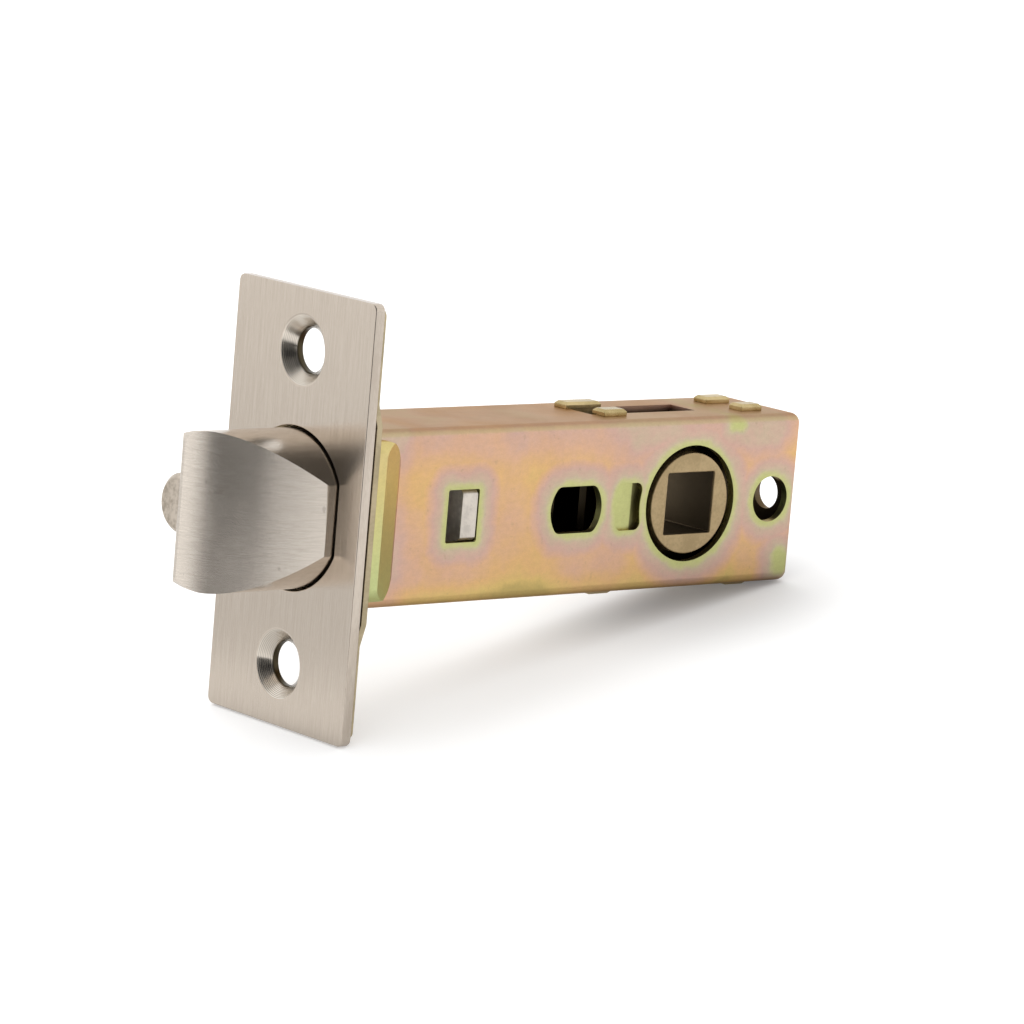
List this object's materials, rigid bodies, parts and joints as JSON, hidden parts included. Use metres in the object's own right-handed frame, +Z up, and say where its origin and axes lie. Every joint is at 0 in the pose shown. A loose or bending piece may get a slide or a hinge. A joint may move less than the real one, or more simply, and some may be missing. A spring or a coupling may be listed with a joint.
{
  "type": "tubular door latch",
  "caption": "Tubular door latch: a sprung bevelled bolt and a half-round plunger behind a screw-on faceplate, drawn back by a square-holed hub in a flat steel case.",
  "frame": {"origin": "centre of the faceplate's outer face, midway between its two screw holes and on the bolt's axis", "axes": "+X runs into the door towards the hub, so the bolt points to -X; +Z runs up the faceplate; -Y is the side of the bolt's bevel"},
  "size_m": [0.095, 0.0286, 0.057],
  "materials": {
    "satin_nickel_plate": "satin nickel plate, brushed along its length",
    "yellow_zinc_sheet": "yellow iridescent passivated zinc plate",
    "satin_nickel_brass": "satin nickel plate on solid brass",
    "bright_zinc_casting": null,
    "plain_zinc_sheet": "bright zinc plated sheet steel",
    "sintered_bronze_tone": "oil-filled sintered steel, beige-bronze",
    "turned_steel": "turned steel",
    "spring_wire": "drawn spring steel wire"
  },
  "bodies": {
    "case": {"faceplate": "satin_nickel_plate", "inner_forend": "yellow_zinc_sheet", "case_shell": "yellow_zinc_sheet", "cheek_plate_near": "yellow_zinc_sheet", "cheek_plate_far": "yellow_zinc_sheet", "guide_block": "bright_zinc_casting", "front_pillar": "turned_steel", "rear_pillar": "turned_steel", "bolt_spring": "spring_wire", "plunger_spring": "spring_wire"},
    "bolt": {"latch_bolt": "satin_nickel_brass", "retractor": "plain_zinc_sheet", "tail_pin": "turned_steel"},
    "hub": {"hub": "sintered_bronze_tone"},
    "plunger": {"plunger": "satin_nickel_brass"}
  },
  "joints": [
    {"name": "bolt_slide", "type": "slide", "parent": "case", "child": "bolt", "axis": [1, 0, 0], "range_m": [0, 0.013], "stiffness_N_per_m": 450, "springref_m": -0.009, "deforming": ["bolt_spring"]},
    {"name": "hub_turn", "type": "hinge", "parent": "case", "child": "hub", "pos_m": [0.06, -0.0026, 0], "axis": [0, 1, 0], "range_deg": [0, 88.7]},
    {"name": "plunger_slide", "type": "slide", "parent": "case", "child": "plunger", "axis": [1, 0, 0], "range_m": [0, 0.0124], "stiffness_N_per_m": 120, "springref_m": -0.009, "deforming": ["plunger_spring"]}
  ],
  "couplings": [
    {"joint": "hub_turn", "follows": "bolt_slide", "rad_per_m": 119.09}
  ]
}
